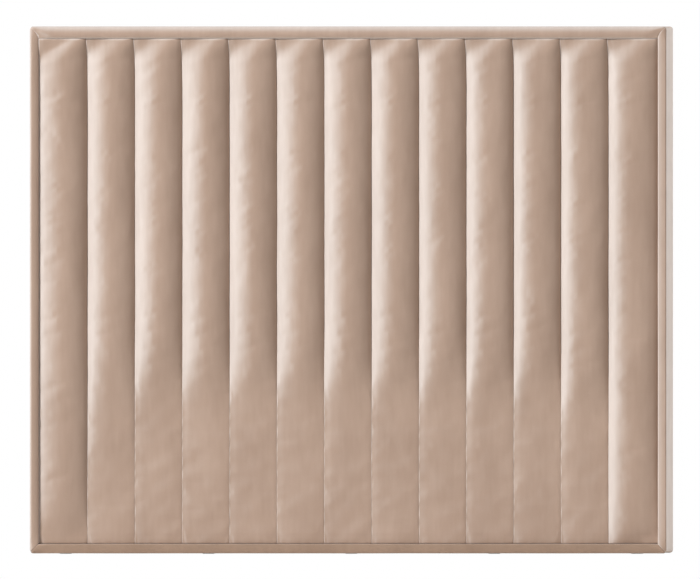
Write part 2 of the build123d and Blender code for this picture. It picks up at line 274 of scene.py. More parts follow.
def channel_surface(channel, columns, rows):
    """Grids of x, z and height in front of the seams for one channel, from its left to its right seam:
    a chord, an arc over it, a quick rise beside both seams, a fall to the right and a lifted head."""
    low_z, high_z = cover_low.z, cover_high.z
    unit_x = spread(0.0, 1.0, PACKED / CHANNEL_WIDTH, columns)
    z = spread(low_z, high_z, END_ROLL, rows)[:, None] + 0 * unit_x[None, :]
    left = seams[channel] + SEAM_GAP / 2 + seam_wander(channel, z[:, :1])
    right = seams[channel + 1] - SEAM_GAP / 2 + seam_wander(channel + 1, z[:, :1])
    x = left + unit_x * (right - left)
    half = (right - left) / 2
    across = (x - left) / (right - left)
    from_side = np.minimum(x - left, right - x)
    share = padding_share(channel, z + FADE_SKEW * (SKEW_MIDDLE - unit_x[None, :]))
    rise = FLAT_CROWN + share * (crown - FLAT_CROWN)
    pull = FLAT_PULL + share * (FULL_PULL - FLAT_PULL)
    chord = FIRST_RISE * (channel == 0) * (1 - across)
    side_pull = SIDE_PULLS[channel] * share
    sag = np.maximum(rise - pull - SIDE_PULL_AT_CREST * side_pull - chord / 2, LEAST_SAG)
    bowed = across + CREST_SHIFTS[channel] * across * (1 - across) ** 2
    near = from_side / np.where(across < 0.5, LEFT_REACH, RIGHT_REACH)
    height = chord + arc_height((2 * bowed - 1) * half, half, sag) + pull * (1 - np.exp(-(near**2)))
    height = height + side_pull * (1 - np.exp((x - right) / SIDE_REACH) - (1 - across) ** 2)
    lift = HEAD_LIFT * (1 - head_share(z)) * (1 - chord / crown)
    height = height + lift - margin_line(high_z - HEAD_TUCKED - z) - margin_line(z - low_z)
    if channel == CHANNELS - 1:
        height = height - margin_line(right - x)
    return x, z, height, from_side, np.minimum(z - low_z, high_z - z), share


sample = channel_surface(CHANNELS // 2, 9, 9)[2]
print("the middle channel rises", round(float(sample.max()) * 1000, 1), "mm over its seams")


# %% [markdown]
# ## Letting the cloth settle
# A padded strip is cloth that is held at its seams and pushed out by foam, and the small unevenness
# that this leaves is hard to draw by hand. So a coarse net of every strip goes through one cloth
# simulation: sewn down along its edges, cut a little too large, and pushed out where there is a pad.
# About a third of the difference that it makes is kept, softly held under a millimetre, and laid over
# the fine grid, because the real cover is laminated to a scrim and hardly wrinkles.

# %% A coarse net of all strips
SIM_COLUMNS, SIM_ROWS = 9, 110


def coarse_net():
    """Points and faces of a coarse net of every strip, and where it is sewn down and pushed out."""
    nets, faces, sewn, push = [], [], [], []
    for channel in range(CHANNELS):
        x, z, height, _, _, share = channel_surface(channel, SIM_COLUMNS, SIM_ROWS)
        nets.append(np.stack([x, seam_y - height, z], axis=-1))
        rows, columns = x.shape
        faces.append(loop_faces(rows, columns, False) + channel * rows * columns)
        edge = np.zeros((rows, columns))
        edge[:2], edge[-2:], edge[:, :2], edge[:, -2:] = 1, 1, 1, 1
        sewn.append(edge.ravel())
        push.append(share.ravel())
    weights = {"sewn": np.concatenate(sewn), "push": np.concatenate(push)}
    return np.array(nets), np.concatenate(faces).tolist(), weights


# %% [markdown]
# A vertex group tells the solver where the cloth is pinned, and a second one how strongly the foam
# pushes from behind. Gravity is off, because on a tight cover it does next to nothing. A negative
# shrink makes each strip a little too large for its place.

# %% Simulate the strips
CLOTH_SETTINGS = dict(
    quality=6,
    mass=0.35,
    tension_stiffness=12,
    compression_stiffness=12,
    shear_stiffness=6,
    bending_stiffness=0.6,
    vertex_group_mass="sewn",
    shrink_min=-0.012,
    use_pressure=True,
    uniform_pressure_force=1.5,
    vertex_group_pressure="push",
)
SIM_FRAMES = 20
LEAST_WEIGHT = 0.01
LIFT_KEPT, LARGEST_LIFT = 0.35, 0.0010


def settled_lift():
    """How far the settled net of each strip stands proud of its start, softly held below the largest."""
    start, faces, group_weights = coarse_net()
    net = make_piece("settling_net", start, faces)
    for label, weights in group_weights.items():
        group = net.vertex_groups.new(name=label)
        for index in np.flatnonzero(weights > LEAST_WEIGHT):
            group.add([int(index)], float(min(1.0, weights[index])), "REPLACE")
    modifier = net.modifiers.new("cloth", "CLOTH")
    for key, value in CLOTH_SETTINGS.items():
        setattr(modifier.settings, key, value)
    modifier.settings.effector_weights.gravity = 0
    modifier.point_cache.frame_start, modifier.point_cache.frame_end = 1, SIM_FRAMES
    for step in range(1, SIM_FRAMES + 1):
        bpy.context.scene.frame_set(step)
    settled = net.evaluated_get(bpy.context.evaluated_depsgraph_get()).data
    end = np.zeros(start.size, np.float32)
    settled.vertices.foreach_get("co", end)
    lift = start[..., 1] - end.reshape(start.shape)[..., 1]
    bpy.context.scene.frame_set(1)
    bpy.data.objects.remove(net)
    return LARGEST_LIFT * np.tanh(lift * LIFT_KEPT / LARGEST_LIFT)


lifts = settled_lift()
print("cloth lifts by", round(float(lifts.max()) * 1000, 2), "mm at most")


# %% [markdown]
# The coarse lift is carried over to the fine grid by straight interpolation, first up the rows and
# then across the columns, so no point of the fine grid needs a search.


# %% Carry the lift over
def unit_places(columns, rows):
    """Where the columns and rows of a channel's grid lie, as shares of its width and height."""
    tall = cover_high.z - cover_low.z
    across = spread(0.0, 1.0, PACKED / CHANNEL_WIDTH, columns)
    return across, spread(0.0, 1.0, END_ROLL / tall, rows)


def carried_lift(channel, unit_across, unit_up):
    """The lift of a channel's net at shares of its width and height, by interpolation in both."""
    if lifts is None:
        return 0.0
    coarse = lifts[channel]
    across, up = unit_places(SIM_COLUMNS, SIM_ROWS)
    by_row = np.array([np.interp(unit_across, across, line) for line in coarse])
    return np.array([np.interp(unit_up, up, line) for line in by_row.T]).T


# %% [markdown]
# ## Building the channels
# At the seams and at both ends the cloth rolls over a small radius and dives into its tuck, and on top
# it is pressed back under the border. Each channel becomes a closed padded body: its front surface,
# one ring of points down in the tuck and a flat back. Open sheets would be lighter, but light and
# shadow would leak through the seams.

# %% Build the channels
COLUMNS, ROWS = 36, 250
ROLL, BORDER_ROLL, SLACK_ROLL = 0.0018, 0.003, 0.2
TUCK = 0.006
HEAD_STEP, HEAD_SLOPE, HEAD_ROUND = 0.0105, 0.002, 0.0040
UNEVEN, UNEVEN_LENGTH, CHANNEL_SEED = 0.0003, 0.09, 40


def drop(distance, roll):
    """How far the cloth has rolled down at a distance from its edge: a quarter circle of that radius."""
    near = np.clip(roll - distance, 0, roll)
    return roll - np.sqrt(roll**2 - near**2)


def head_drop(from_top):
    """How far the cloth is pressed back under the border on top: a rounded step, then a gentle slope."""
    step = HEAD_STEP * (1 - ease((from_top - HEAD_TUCKED) / HEAD_ROUND))
    return step + HEAD_SLOPE * np.clip(1 - from_top / HEAD_TUCKED, 0, 1)


def build_channel(channel):
    """One padded strip: heights over the grid, rolled edges, a ring in the tuck and a flat back."""
    x, z, height, from_side, from_end, share = channel_surface(channel, COLUMNS, ROWS)
    rows, columns = x.shape
    height = height + carried_lift(channel, *unit_places(COLUMNS, ROWS))
    height = height + UNEVEN * waves(CHANNEL_SEED + channel, x, z, length=UNEVEN_LENGTH)
    by_border = np.zeros(columns)
    by_border[: columns // 2] = channel == 0
    by_border[columns // 2 :] = channel == CHANNELS - 1
    side_roll = ROLL + (BORDER_ROLL - ROLL) * by_border
    rolled = SLACK_ROLL + (1 - SLACK_ROLL) * share
    height = height - drop(from_side, side_roll) * rolled - drop(from_end, END_ROLL)
    height = height - head_drop(cover_high.z - z)
    surface = np.stack([x, seam_y - height, z], axis=-1)
    ringed = np.pad(surface, ((1, 1), (1, 1), (0, 0)), mode="edge")
    tuck_y = seam_y + TUCK
    ringed[0, :, 1] = ringed[-1, :, 1] = tuck_y
    ringed[:, 0, 1] = ringed[:, -1, 1] = tuck_y
    rows, columns = rows + 2, columns + 2
    faces = loop_faces(rows, columns, False).tolist() + [rim(rows, columns).tolist()]
    return make_piece(f"channel_{channel + 1:02d}", ringed, faces)


channel_pieces = [build_channel(channel) for channel in range(CHANNELS)]
print(len(channel_pieces), "channels,", len(channel_pieces[0].data.vertices), "points each")

# %% [markdown]
# ## The border's section
# The border is a plank with wadding under the cloth. Its face is two parabolas that meet at the crest,
# flatter or rounder on each side as the wadding lies. On top it bulges a little and hangs over the
# heads of the channels, and at the bottom the face leans back towards the floor. A bevelled box would
# be quicker, but it would have no crest to catch the light.

# %% Section of the border
wrap_low, wrap_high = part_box("border_wrap_bottom")[0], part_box("border_wrap_top")[1]
half_wide = (outer_high.x - outer_low.x) / 2 - BORDER_FACE
middle_z = (wrap_high.z + wrap_low.z) / 2
half_tall = (wrap_high.z - wrap_low.z) / 2 - BORDER_FACE
inner_end_y = slab_high.y
HEM, HEM_THICKNESS = 0.013, 0.001
BACK_ROUND, EDGE_ROUND, UNDERCUT = 0.003, 0.0022, 0.012
PLAIN_SHAPE = dict(crest=0.012, inner_depth=0.0025, outer_depth=0.0025)
FULL_SHAPES = {
    "top": dict(crest=0.0045, inner_depth=0.0045, outer_depth=0.0085, overhang=0.0085, proud=0.0035),
    "bottom": dict(crest=0.012, inner_depth=0.0008, outer_depth=0.001, lean=0.27),
    "left": dict(crest=0.0165, inner_depth=0.0055, outer_depth=0.002),
    "right": dict(crest=0.022, inner_depth=0.0028, outer_depth=0.0002),
}


def arc(centre, radius, start, end, steps):
    """Points on a circle about a centre, from one angle to another in degrees."""
    angle = np.radians(np.linspace(start, end, steps))
    return np.stack([centre[0] + radius * np.cos(angle), centre[1] + radius * np.sin(angle)], axis=-1)


def line(start, end, steps):
    """Evenly spaced points between two, without the first and the last."""
    share = np.linspace(0, 1, steps)[1:-1, None]
    return (1 - share) * np.array(start) + share * np.array(end)


def half_face(crest, depth, edge, steps):
    """From an edge of the face up to its crest, as (x, y): a parabola, rolled over at the edge."""
    across = crest - (crest - edge) * np.cos(np.linspace(0, math.pi / 2, steps))
    from_crest = (across - crest) / (edge - crest)
    y = front_y + depth * from_crest**2 + drop(np.abs(across - edge), EDGE_ROUND)
    return np.stack([across, y], axis=-1)


def border_section(crest, inner_depth, outer_depth, overhang=0.0, lean=0.0, proud=0.0):
    """The wrapped border across, once round: x outwards from the panel, y from front to back. Its face
    may hang over the panel's edge, lean back towards its outer edge or stand proud of the CAD front."""
    wide, back, bend = BORDER_FACE, back_y, BACK_ROUND
    inner = half_face(crest, inner_depth, -overhang, 20)
    outer = half_face(crest, outer_depth, wide, 12)
    face = np.concatenate([inner, outer[-2::-1]])
    face[:, 1] += lean * np.maximum(face[:, 0], 0) - proud
    inner_y, outer_y = face[0, 1], face[-1, 1]
    pieces = [
        line((0, inner_end_y), (0, front_y + UNDERCUT), 7),
        line((0, front_y + UNDERCUT), (-overhang, inner_y), 5),
        face,
        line((wide, outer_y), (wide, back - bend), 14),
        arc((wide - bend, back - bend), bend, 0, 90, 6),
        line((wide - bend, back), (-HEM, back), 12),
        np.array([(-HEM, back), (-HEM, back - HEM_THICKNESS)]),
        line((-HEM, back - HEM_THICKNESS), (0, back - HEM_THICKNESS), 4),
        np.array([(0, back - HEM_THICKNESS), (0, inner_end_y)]),
    ]
    return np.concatenate(pieces)


print("border section has", len(border_section(**PLAIN_SHAPE)), "points")

# %% [markdown]
# ## The section carried round
# Each side of the border is its section carried along the side. A point of the section that lies
# further out travels further, so all the ends fall on the mitre by themselves, and near the mitre
# every side takes on the same plain section. A shallow dip beside the mitre makes the fold, and the
# outer corners are rounded by squeezing a small square of the plan into a quarter disc. One loop
# swept round a rectangle would be simpler, but its section could not change.

# %% Carry the section along each side
EVEN_STEPS, NEAR_MITRE = np.linspace(-1, 1, 240), np.geomspace(0.0008, 0.03, 14)
CORNER_ROUND, PINCHED = 0.009, 0.035
FOLD_DEPTH, FOLD_WIDTH = 0.0004, 0.0018
BULGE, BULGE_LENGTH, BULGE_FADE, BORDER_SEED = 0.0002, 0.3, 0.02, 70
MOST_PROUD = 0.0005
LOWER_EDGE_SAG, SAG_FROM, SAG_REACH = 0.0018, 0.008, 0.006
TINY = 1e-9
sides = {
    "right": (half_tall, lambda out, along: (half_wide + out, middle_z - along)),
    "left": (half_tall, lambda out, along: (-half_wide - out, middle_z + along)),
    "top": (half_wide, lambda out, along: (along, middle_z + half_tall + out)),
    "bottom": (half_wide, lambda out, along: (-along, middle_z - half_tall - out)),
}


def rounded_corner(x, z):
    """Squeezes each outer corner square of the plan into a quarter disc of the same size."""
    over_x = np.abs(x) - (half_wide + BORDER_FACE - CORNER_ROUND)
    over_z = np.abs(z - middle_z) - (half_tall + BORDER_FACE - CORNER_ROUND)
    inside = (over_x > 0) & (over_z > 0)
    radius = np.maximum(np.hypot(over_x, over_z), TINY)
    squeeze = np.where(inside, 1 - np.maximum(over_x, over_z) / radius, 0)
    return x - np.sign(x) * over_x * squeeze, z - np.sign(z - middle_z) * over_z * squeeze


def build_border(side, seed):
    """One side of the border: its section at many places along, each out to the mitre."""
    half, place = sides[side]
    shape = FULL_SHAPES[side]
    full = border_section(**shape)
    plain = border_section(**PLAIN_SHAPE, overhang=shape.get("overhang", 0.0))
    ends = 1 - NEAR_MITRE
    steps = np.unique(np.concatenate([EVEN_STEPS, ends, -ends, [-1, 1]]))[:, None]
    inland = ease((1 - np.abs(steps)) * half / PINCHED)
    out = plain[:, 0] + inland * (full - plain)[:, 0]
    y = plain[:, 1] + inland * (full - plain)[:, 1]
    reach = half + np.where(y < front_y + UNDERCUT, np.maximum(out, 0), out)
    along = steps * reach
    fold = FOLD_DEPTH * np.exp(-(((reach - np.abs(along)) / FOLD_WIDTH) ** 2))
    forward = np.clip((inner_end_y - y) / BULGE_FADE, 0, 1)
    bulge = BULGE * waves(seed, along, length=BULGE_LENGTH) * forward
    centre_out, centre_y = BORDER_FACE / 2, front_y + BORDER_FACE / 2
    away = np.hypot(out - centre_out, np.minimum(y - centre_y, 0)) + TINY
    shift = np.where(y < back_y - BACK_ROUND, bulge - fold, 0)
    moved_out = np.clip(out + shift * (out - centre_out) / away, -HEM, BORDER_FACE)
    moved_y = y + shift * np.minimum(y - centre_y, 0) / away
    x, z = rounded_corner(*place(moved_out, along))
    if side == "bottom":
        near_front = 1 - ease((moved_y - front_y - SAG_FROM) / SAG_REACH)
        z = z - LOWER_EDGE_SAG * near_front * ease(moved_out / BORDER_FACE)
    foremost = front_y - MOST_PROUD - shape.get("proud", 0.0)
    points = np.stack([x, np.maximum(moved_y, foremost), z], axis=-1)
    rows, columns = points.shape[:2]
    faces = loop_faces(rows, columns, True)[:, ::-1].tolist()
    faces += [list(range(columns)), list(range((rows - 1) * columns, rows * columns))[::-1]]
    return make_piece(f"border_{side}", points, faces)


border_pieces = {side: build_border(side, BORDER_SEED + number) for number, side in enumerate(sides)}
print("border sides:", ", ".join(border_pieces))

# %% [markdown]
# ## The dust cover
# The back of an upholstered frame is closed with a thin bonded cloth, its edge turned under and
# stapled. It is pulled flat over the timbers and sinks a little between them. The sheet is two grids,
# a face and the same face a thickness behind it, joined along the rim. A simulation could sag it, but
# a stretched sheet sinks so plainly that a formula does: a smooth bowl over each opening of the frame,
# and small creases that run in from the staples.

# %% Dust cover
sheet_low, sheet_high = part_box("dust_cover")
SHEET_THICKNESS = 0.0006
SINK, SINK_UNEVEN, SINK_LENGTH, SHEET_SEED = 0.0022, 0.25, 0.4, 90
CREASE, CREASE_REACH = 0.0004, 0.05
STAPLE_STEP, STAPLE_INSET = 0.055, 0.007
uprights = ("stile_left", "mullion_1", "mullion_2", "mullion_3", "stile_right")
stiles = [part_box(f"frame_{name}") for name in uprights]
rails = [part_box(f"frame_{name}") for name in ("rail_bottom", "noggins", "rail_top")]


def bowls(place, timbers, key):
    """Over each gap between two timbers half a sine wave, 0 on the timbers: one factor of the bowls."""
    total = 0.0
    for before, after in zip(timbers, timbers[1:]):
        low, high = getattr(before[1], key), getattr(after[0], key)
        total = total + np.sin(math.pi * np.clip((place - low) / (high - low), 0, 1))
    return total


def build_dust_cover(columns=150, rows=120):
    """The sheet: bowls between the timbers, creases at the staples, a thickness and a closed rim."""
    wide = np.linspace(sheet_low.x, sheet_high.x, columns)
    x, z = np.meshgrid(wide, np.linspace(sheet_low.z, sheet_high.z, rows))
    bowl = np.sqrt(bowls(x, stiles, "x") * bowls(z, rails, "z"))
    from_x = np.minimum(x - sheet_low.x, sheet_high.x - x)
    from_z = np.minimum(z - sheet_low.z, sheet_high.z - z)
    creases = np.exp(-from_x / CREASE_REACH) * (1 - np.cos(2 * math.pi * z / STAPLE_STEP))
    creases += np.exp(-from_z / CREASE_REACH) * (1 - np.cos(2 * math.pi * x / STAPLE_STEP))
    uneven = 1 + SINK_UNEVEN * waves(SHEET_SEED, x, z, length=SINK_LENGTH)
    back = np.stack([x, sheet_low.y - (SINK * bowl * uneven + CREASE * creases * bowl), z], axis=-1)
    face = back + np.array([0, SHEET_THICKNESS, 0])
    cells = loop_faces(rows, columns, False)
    edge = rim(rows, columns)
    count = rows * columns
    wall = np.stack([edge, np.roll(edge, -1), np.roll(edge, -1) + count, edge + count], axis=-1)
    faces = np.concatenate([cells, cells[:, ::-1] + count, wall]).tolist()
    return make_piece("dust_sheet", np.stack([back, face]), faces)


dust_sheet = build_dust_cover()
print("dust sheet has", len(dust_sheet.data.polygons), "faces")

# %% [markdown]
# ## Staples
# Upholstery staples sit in a row along every turned edge on the back. Only the crown shows, a flat
# wire about 10 mm long, pressed a little into the cloth. One staple is a bar with bevelled ends, and
# the row is made by adding its eight corners to every place at once.

# %% Staples
CROWN_LENGTH, CROWN_WIDTH, CROWN_HEIGHT = 0.010, 0.0012, 0.0005
CROWN_SUNK, CROWN_TAPER, CROWN_TILT = 0.0004, 0.8, 0.12


def staple_row(start, end, back):
    """Places, and directions along the row, from a start to an end on the back, each (x, z)."""
    start, end = np.array(start), np.array(end)
    length = np.linalg.norm(end - start)
    count = int(length / STAPLE_STEP)
    share = (np.arange(count) + 0.5) / count
    spots = start + share[:, None] * (end - start)
    tilt = np.random.default_rng(int(length * 1e4) + count).normal(0, CROWN_TILT, count)
    along = math.atan2(end[1] - start[1], end[0] - start[0]) + tilt
    places = [spots[:, 0], np.full(count, back), spots[:, 1]]
    return np.column_stack([*places, np.cos(along), np.sin(along)])


def frame_rows(inset, back):
    """Four rows of staples round the dust sheet, inset from its edge."""
    half_x, low_z, high_z = sheet_high.x - inset, sheet_low.z + inset, sheet_high.z - inset
    corners = [(-half_x, low_z), (half_x, low_z), (half_x, high_z), (-half_x, high_z)]
    return [staple_row(a, b, back) for a, b in zip(corners, corners[1:] + corners[:1])]


def build_staples(rows):
    """One bar per place: a bottom and a smaller top rectangle, turned along its row."""
    spots = np.concatenate(rows)
    long, wide = CROWN_LENGTH / 2, CROWN_WIDTH / 2
    levels = ((-CROWN_SUNK, 1), (CROWN_HEIGHT, CROWN_TAPER))
    signs = ((-1, -1), (1, -1), (1, 1), (-1, 1))
    bar = np.array([(a * long * t, y, b * wide * t) for y, t in levels for a, b in signs])
    along, out, aside = bar.T
    cos, sin = spots[:, 3:4], spots[:, 4:5]
    turned = [along * cos - aside * sin, out + 0 * cos, along * sin + aside * cos]
    points = np.stack(turned, axis=-1) + spots[:, None, :3]
    one = np.array([(0, 1, 2, 3), (7, 6, 5, 4), (4, 5, 1, 0), (5, 6, 2, 1), (6, 7, 3, 2), (7, 4, 0, 3)])
    faces = (one[None] + 8 * np.arange(len(spots))[:, None, None]).reshape(-1, 4).tolist()
    return make_piece("back_staples", points, faces, smooth=False)


staples = build_staples(frame_rows(STAPLE_INSET, sheet_high.y) + frame_rows(-STAPLE_INSET, back_y))
print("staples:", len(staples.data.polygons) // 6)

# %% [markdown]
# ## Screws of the wall cleat
# The cleat is held by countersunk screws with a cross recess. A screw is a profile turned round its
# axis. The recess is a dip in the flat of the head, deep where a point lies inside either bar of a
# cross, and the grid has its rings close together there. A Boolean cut would be sharper, but it leaves
# a poor mesh.

# %% Cleat screws
HEAD_RADIUS, HEAD_DEPTH, HEAD_RIM = 0.0045, 0.003, 0.0003
SHANK_RADIUS, POINT_LENGTH, POINT_RADIUS = 0.0021, 0.008, 0.0002
CROSS_LONG, CROSS_WIDE, CROSS_DEPTH = 0.0027, 0.0006, 0.0016
CROSS_END, CROSS_SIDE = 0.0004, 0.0003
SCREW_SUNK, SCREW_COUNT = 0.0001, 5
screw_low, screw_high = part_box("cleat_screws")


def screw_points(centre_x, centre_z, turns=48):
    """A turned profile, from the middle of the head outwards, down the cone and along the shank."""
    flat = np.linspace(HEAD_RIM, HEAD_RADIUS, 14)
    length = screw_high.y - screw_low.y
    radii = np.concatenate([flat, [HEAD_RADIUS, SHANK_RADIUS, SHANK_RADIUS, POINT_RADIUS]])
    depth = np.concatenate([0 * flat, [HEAD_RIM, HEAD_DEPTH, length - POINT_LENGTH, length]])
    angle = np.linspace(0, 2 * math.pi, turns, endpoint=False) + math.pi / 5
    across, up = radii[:, None] * np.cos(angle), radii[:, None] * np.sin(angle)

    def bar(a, b):
        """How deep one bar of the cross is, 0 to 1, with sloping ends and sides."""
        ends = np.clip((CROSS_LONG - np.abs(a)) / CROSS_END, 0, 1)
        return ends * np.clip((CROSS_WIDE - np.abs(b)) / CROSS_SIDE + 1, 0, 1)

    recess = np.maximum(bar(across, up), bar(up, across))
    recess[len(flat) :] = 0
    y = screw_high.y - SCREW_SUNK - depth[:, None] - CROSS_DEPTH * recess
    return np.stack([centre_x + across, y, centre_z + up], axis=-1)


def build_screws():
    """All screws of the cleat: grids whose columns run round, closed in the head and at the point."""
    row_z = (screw_low.z + screw_high.z) / 2
    places = np.linspace(screw_low.x + HEAD_RADIUS, screw_high.x - HEAD_RADIUS, SCREW_COUNT)
    grids = [screw_points(place, row_z) for place in places]
    rows, columns = grids[0].shape[:2]
    cells = loop_faces(rows, columns, True)
    faces, ends = [], []
    for number in range(SCREW_COUNT):
        first = number * rows * columns
        faces += (cells + first).tolist()
        last = first + (rows - 1) * columns
        ends += [list(range(first, first + columns))[::-1], list(range(last, last + columns))]
    return make_piece("cross_head_screws", np.array(grids), faces + ends)


screws = build_screws()
print("screws:", SCREW_COUNT)

# %% [markdown]
# ## Finishes as sums
# A finish is a small graph of nodes. Each could be made and linked by hand, but written as Python sums
# it reads like the maths that it is. One class wraps a number that changes over the surface, and each
# operator on it adds one Math node.


# %% A number in a shader
class Number:
    """A number that changes over a surface. Sums and products with it add Math nodes."""

    def __init__(self, graph, socket):
        self.graph, self.socket = graph, socket

    def _math(self, operation, first, second):
        node = self.graph.add("ShaderNodeMath", {"operation": operation}, {0: first, 1: second})
        return Number(self.graph, node.outputs[0])

    def __add__(self, other):
        return self._math("ADD", self, other)

    def __sub__(self, other):
        return self._math("SUBTRACT", self, other)

    def __rsub__(self, other):
        return self._math("SUBTRACT", other, self)

    def __mul__(self, other):
        return self._math("MULTIPLY", self, other)

    def __truediv__(self, other):
        return self._math("DIVIDE", self, other)

    __radd__, __rmul__ = __add__, __mul__

    def whole_part_left(self):
        """What is left of the number without its whole part."""
        return self._math("FRACT", self, 0)

    def clamped(self):
        """The number kept between 0 and 1."""
        node = self.graph.add("ShaderNodeClamp", {}, {"Value": self})
        return Number(self.graph, node.outputs[0])

    def ramp(self, low, high, top=1.0):
        """0 up to low, top from high on, and a smooth step between."""
        sockets = {"Value": self, "From Min": low, "From Max": high, "To Max": top}
        node = self.graph.add("ShaderNodeMapRange", {"interpolation_type": "SMOOTHSTEP"}, sockets)
        return Number(self.graph, node.outputs[0])


# %% [markdown]
# Any other node comes from one method, which sets its settings first and its sockets next. A material
# adds the patterns that the finishes share. They read the place on the piece in metres, so a pattern
# keeps its real size on every piece.


# %% A tree of nodes and a material
class Graph:
    """A tree of nodes while it is made."""

    def __init__(self, tree):
        self.tree = tree
        tree.nodes.clear()

    def add(self, kind, settings=None, sockets=None):
        """Makes one node: its settings first, then a value or a link for each socket."""
        node = self.tree.nodes.new(kind)
        for key, value in (settings or {}).items():
            setattr(node, key, value)
        for key, value in (sockets or {}).items():
            if isinstance(value, Number):
                value = value.socket
            if isinstance(value, bpy.types.NodeSocket):
                self.tree.links.new(value, node.inputs[key])
            else:
                node.inputs[key].default_value = value
        return node


class Finish(Graph):
    """A material while it is made."""

    def __init__(self, name):
        self.material = bpy.data.materials.new(name)
        self.material.use_nodes = True
        super().__init__(self.material.node_tree)
        self.place = self.add("ShaderNodeTexCoord").outputs["Object"]

    def stretched(self, scale):
        """The place on the piece, stretched along each axis."""
        return self.add("ShaderNodeMapping", {}, {"Vector": self.place, "Scale": scale}).outputs[0]

    def axis(self, name):
        """One coordinate of the place on the piece, in metres."""
        return Number(self, self.add("ShaderNodeSeparateXYZ", {}, {0: self.place}).outputs[name])

    def noise(self, scale, detail=2.0, stretch=(1, 1, 1), roughness=0.5):
        """Noise of a scale per metre, 0 to 1, stretched along the axes."""
        sockets = {"Vector": self.stretched(stretch), "Scale": scale}
        sockets.update(Detail=detail, Roughness=roughness)
        return Number(self, self.add("ShaderNodeTexNoise", {}, sockets).outputs[0])

    def cells(self, scale, stretch=(1, 1, 1)):
        """Distance to the nearest of scattered points, scaled per metre."""
        sockets = {"Vector": self.stretched(stretch), "Scale": scale}
        node = self.add("ShaderNodeTexVoronoi", {"feature": "F1"}, sockets)
        return Number(self, node.outputs["Distance"])

    def mix(self, share, first, second):
        """A colour between two, by a share."""
        node = self.add("ShaderNodeMix", {"data_type": "RGBA"}, {0: share, 6: first, 7: second})
        return node.outputs[2]

    def bump(self, height, distance, strength=1.0):
        """A normal that follows a height, in metres for a height of 1."""
        sockets = {"Strength": strength, "Distance": distance, "Height": height}
        return self.add("ShaderNodeBump", {}, sockets).outputs[0]

    def facing_from(self, lean):
        """How far the normal, tilted over by an offset, turns away from the eye, 0 to 1."""
        upright = self.add("ShaderNodeNewGeometry").outputs["Normal"]
        leaning = self.add("ShaderNodeVectorMath", {"operation": "ADD"}, {0: upright, 1: lean})
        pile = self.add("ShaderNodeVectorMath", {"operation": "NORMALIZE"}, {0: leaning.outputs[0]})
        weight = self.add("ShaderNodeLayerWeight", {}, {"Blend": 0.5, "Normal": pile.outputs[0]})
        return Number(self, weight.outputs["Facing"])

    def surface(self, **sockets):
        """A principled shader with the named sockets set."""
        named = {key.replace("_", " "): value for key, value in sockets.items()}
        return self.add("ShaderNodeBsdfPrincipled", {}, named).outputs[0]

    def done(self, shader):
        """Joins the shader to the output, and returns the material."""
        self.add("ShaderNodeOutputMaterial", {}, {0: shader})
        return self.material


def rgb(red, green, blue):
    """A colour written as on a screen, 0 to 255, turned into the linear values that shaders use."""
    parts = np.array([red, green, blue]) / 255
    linear = np.where(parts <= 0.04045, parts / 12.92, ((parts + 0.055) / 1.055) ** 2.4)
    return (*(float(v) for v in linear), 1.0)


# %% [markdown]
# ## Velvet
# Velvet is short pile. Stroked one way it looks lighter and the other way darker, so the colour
# wanders in soft upright patches. Seen along the pile one looks down into its dark roots, and from its
# side at the pale tips. So the finish is a body and pale tips, mixed by how far the normal, tilted over
# by an offset, turns from the eye. The offset leans to the left and up, towards the main lamp, so each
# roll turns pale only on the flank that faces the lamp: a painted highlight over the pile's own pale
# sheen. A sheen layer would be pale on both flanks. The bottom border gets a darker velvet, not tilted.


# %% Velvet finish
TIPS_AND_HIGHLIGHT_FROM, TIPS_AND_HIGHLIGHT_TO, TIPS_AND_HIGHLIGHT_MOST = 0.2, 0.5, 0.36
# The pale colour and the lean to the left and up paint a highlight on the flanks that face the main lamp,
# over the pile's own sheen.
PALE_TIPS_AND_HIGHLIGHT = (0.93, 0.92, 0.91, 1.0)
LEAN_TO_LAMP_SIDE, UPRIGHT = (-0.5, 0, 0.2), (0, 0, 0)


def velvet(name, dark, light, lean):
    """Rose beige velvet: stroked patches, a fine grain, and pale tips where the normal, tilted by an
    offset, turns from the eye. Tilted towards the lamp, this paints a highlight.
    """
    f = Finish(name)
    patches = f.noise(9.0, 3.0, stretch=(1.6, 1.0, 0.55), roughness=0.55)
    strokes = f.noise(38.0, 2.0, stretch=(2.2, 1.0, 0.35))
    grain = f.noise(900.0, 2.0, stretch=(1.0, 1.0, 0.6))
    share = (0.5 + (patches - 0.5) * 1.1 + (strokes - 0.5) * 0.35 + (grain - 0.5) * 0.35).clamped()
    colour = f.mix(share, dark, light)
    normal = f.bump(grain * 0.6 + strokes * 0.4, 0.00035, 0.5)
    # Pale where the tilted normal turns from the eye: the pile's sheen, and a painted highlight on the lamp
    # side.
    facing = f.facing_from(lean)
    tips_and_highlight = facing.ramp(TIPS_AND_HIGHLIGHT_FROM, TIPS_AND_HIGHLIGHT_TO, TIPS_AND_HIGHLIGHT_MOST) * (0.85 + strokes * 0.3)
    rough_body, rough_tips = 0.78 + grain * 0.12, 0.9 + grain * 0.1
    body = f.surface(Base_Color=colour, Roughness=rough_body, Specular_IOR_Level=0.06, Normal=normal)
    pale = f.surface(Base_Color=PALE_TIPS_AND_HIGHLIGHT, Roughness=rough_tips, Specular_IOR_Level=0.0, Normal=normal)
    both = f.add("ShaderNodeMixShader", {}, {0: tips_and_highlight, 1: body, 2: pale})
    return f.done(both.outputs[0])


velvet_finish = velvet("velvet_rose_beige", rgb(161, 137, 121), rgb(182, 158, 142), LEAN_TO_LAMP_SIDE)
